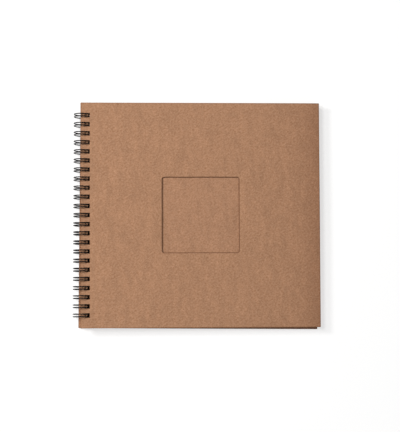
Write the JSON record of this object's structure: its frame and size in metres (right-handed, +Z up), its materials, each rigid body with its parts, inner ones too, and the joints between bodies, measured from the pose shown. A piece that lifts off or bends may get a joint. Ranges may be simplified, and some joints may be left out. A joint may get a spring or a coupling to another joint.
{
  "type": "scrapbook album",
  "caption": "Closed square scrapbook album: kraft board covers, a square photo window in the front one, and kraft card leaves on a black twin-loop wire binding.",
  "frame": {"origin": "middle of the bounding box, at the plane that the closed album lies on", "axes": "+X from the binding to the fore-edge, +Y from tail to head along the binding, +Z up through the front cover"},
  "size_m": [0.3466, 0.3182, 0.023],
  "materials": {
    "board": "matte",
    "leaf": "matte",
    "wire": "gloss"
  },
  "bodies": {
    "binding": {"wire_binding": "wire", "back_cover": "board"},
    "front_cover": {"front_cover": "board", "front_liner": "board"},
    "leaf_01": {"leaf_01": "leaf"},
    "leaf_02": {"leaf_02": "leaf"},
    "leaf_03": {"leaf_03": "leaf"},
    "leaf_04": {"leaf_04": "leaf"},
    "leaf_05": {"leaf_05": "leaf"},
    "leaf_06": {"leaf_06": "leaf"},
    "leaf_07": {"leaf_07": "leaf"},
    "leaf_08": {"leaf_08": "leaf"},
    "leaf_09": {"leaf_09": "leaf"},
    "leaf_10": {"leaf_10": "leaf"},
    "leaf_11": {"leaf_11": "leaf"},
    "leaf_12": {"leaf_12": "leaf"},
    "leaf_13": {"leaf_13": "leaf"},
    "leaf_14": {"leaf_14": "leaf"},
    "leaf_15": {"leaf_15": "leaf"},
    "leaf_16": {"leaf_16": "leaf"},
    "leaf_17": {"leaf_17": "leaf"},
    "leaf_18": {"leaf_18": "leaf"},
    "leaf_19": {"leaf_19": "leaf"},
    "leaf_20": {"leaf_20": "leaf"}
  },
  "joints": [
    {"name": "leaf_01_turn", "type": "hinge", "parent": "binding", "child": "leaf_01", "pos_m": [-0.16184, -0.00015, 0.0115], "axis": [0, -1, 0], "range_deg": [0, 60]},
    {"name": "leaf_02_turn", "type": "hinge", "parent": "binding", "child": "leaf_02", "pos_m": [-0.16184, -0.00015, 0.0115], "axis": [0, -1, 0], "range_deg": [0, 60]},
    {"name": "leaf_03_turn", "type": "hinge", "parent": "binding", "child": "leaf_03", "pos_m": [-0.16184, -0.00015, 0.0115], "axis": [0, -1, 0], "range_deg": [0, 60]},
    {"name": "leaf_04_turn", "type": "hinge", "parent": "binding", "child": "leaf_04", "pos_m": [-0.16184, -0.00015, 0.0115], "axis": [0, -1, 0], "range_deg": [0, 60]},
    {"name": "leaf_05_turn", "type": "hinge", "parent": "binding", "child": "leaf_05", "pos_m": [-0.16184, -0.00015, 0.0115], "axis": [0, -1, 0], "range_deg": [0, 60]},
    {"name": "leaf_06_turn", "type": "hinge", "parent": "binding", "child": "leaf_06", "pos_m": [-0.16184, -0.00015, 0.0115], "axis": [0, -1, 0], "range_deg": [0, 60]},
    {"name": "leaf_07_turn", "type": "hinge", "parent": "binding", "child": "leaf_07", "pos_m": [-0.16184, -0.00015, 0.0115], "axis": [0, -1, 0], "range_deg": [0, 60]},
    {"name": "leaf_08_turn", "type": "hinge", "parent": "binding", "child": "leaf_08", "pos_m": [-0.16184, -0.00015, 0.0115], "axis": [0, -1, 0], "range_deg": [0, 60]},
    {"name": "leaf_09_turn", "type": "hinge", "parent": "binding", "child": "leaf_09", "pos_m": [-0.16184, -0.00015, 0.0115], "axis": [0, -1, 0], "range_deg": [0, 60]},
    {"name": "leaf_10_turn", "type": "hinge", "parent": "binding", "child": "leaf_10", "pos_m": [-0.16184, -0.00015, 0.0115], "axis": [0, -1, 0], "range_deg": [0, 60]},
    {"name": "leaf_11_turn", "type": "hinge", "parent": "binding", "child": "leaf_11", "pos_m": [-0.16184, -0.00015, 0.0115], "axis": [0, -1, 0], "range_deg": [0, 60]},
    {"name": "leaf_12_turn", "type": "hinge", "parent": "binding", "child": "leaf_12", "pos_m": [-0.16184, -0.00015, 0.0115], "axis": [0, -1, 0], "range_deg": [0, 60]},
    {"name": "leaf_13_turn", "type": "hinge", "parent": "binding", "child": "leaf_13", "pos_m": [-0.16184, -0.00015, 0.0115], "axis": [0, -1, 0], "range_deg": [0, 60]},
    {"name": "leaf_14_turn", "type": "hinge", "parent": "binding", "child": "leaf_14", "pos_m": [-0.16184, -0.00015, 0.0115], "axis": [0, -1, 0], "range_deg": [0, 60]},
    {"name": "leaf_15_turn", "type": "hinge", "parent": "binding", "child": "leaf_15", "pos_m": [-0.16184, -0.00015, 0.0115], "axis": [0, -1, 0], "range_deg": [0, 60]},
    {"name": "leaf_16_turn", "type": "hinge", "parent": "binding", "child": "leaf_16", "pos_m": [-0.16184, -0.00015, 0.0115], "axis": [0, -1, 0], "range_deg": [0, 60]},
    {"name": "leaf_17_turn", "type": "hinge", "parent": "binding", "child": "leaf_17", "pos_m": [-0.16184, -0.00015, 0.0115], "axis": [0, -1, 0], "range_deg": [0, 60]},
    {"name": "leaf_18_turn", "type": "hinge", "parent": "binding", "child": "leaf_18", "pos_m": [-0.16184, -0.00015, 0.0115], "axis": [0, -1, 0], "range_deg": [0, 60]},
    {"name": "leaf_19_turn", "type": "hinge", "parent": "binding", "child": "leaf_19", "pos_m": [-0.16184, -0.00015, 0.0115], "axis": [0, -1, 0], "range_deg": [0, 60]},
    {"name": "leaf_20_turn", "type": "hinge", "parent": "binding", "child": "leaf_20", "pos_m": [-0.16184, -0.00015, 0.0115], "axis": [0, -1, 0], "range_deg": [0, 60]},
    {"name": "front_cover_turn", "type": "hinge", "parent": "leaf_01", "child": "front_cover", "pos_m": [-0.16184, -0.00015, 0.0115], "axis": [0, -1, 0], "range_deg": [0, 121.4]}
  ],
  "couplings": [
    {"joint": "leaf_02_turn", "follows": "leaf_01_turn", "ratio": 0.95},
    {"joint": "leaf_03_turn", "follows": "leaf_01_turn", "ratio": 0.9},
    {"joint": "leaf_04_turn", "follows": "leaf_01_turn", "ratio": 0.85},
    {"joint": "leaf_05_turn", "follows": "leaf_01_turn", "ratio": 0.8},
    {"joint": "leaf_06_turn", "follows": "leaf_01_turn", "ratio": 0.75},
    {"joint": "leaf_07_turn", "follows": "leaf_01_turn", "ratio": 0.7},
    {"joint": "leaf_08_turn", "follows": "leaf_01_turn", "ratio": 0.65},
    {"joint": "leaf_09_turn", "follows": "leaf_01_turn", "ratio": 0.6},
    {"joint": "leaf_10_turn", "follows": "leaf_01_turn", "ratio": 0.55},
    {"joint": "leaf_11_turn", "follows": "leaf_01_turn", "ratio": 0.5},
    {"joint": "leaf_12_turn", "follows": "leaf_01_turn", "ratio": 0.45},
    {"joint": "leaf_13_turn", "follows": "leaf_01_turn", "ratio": 0.4},
    {"joint": "leaf_14_turn", "follows": "leaf_01_turn", "ratio": 0.35},
    {"joint": "leaf_15_turn", "follows": "leaf_01_turn", "ratio": 0.3},
    {"joint": "leaf_16_turn", "follows": "leaf_01_turn", "ratio": 0.25},
    {"joint": "leaf_17_turn", "follows": "leaf_01_turn", "ratio": 0.2},
    {"joint": "leaf_18_turn", "follows": "leaf_01_turn", "ratio": 0.15},
    {"joint": "leaf_19_turn", "follows": "leaf_01_turn", "ratio": 0.1},
    {"joint": "leaf_20_turn", "follows": "leaf_01_turn", "ratio": 0.05}
  ]
}
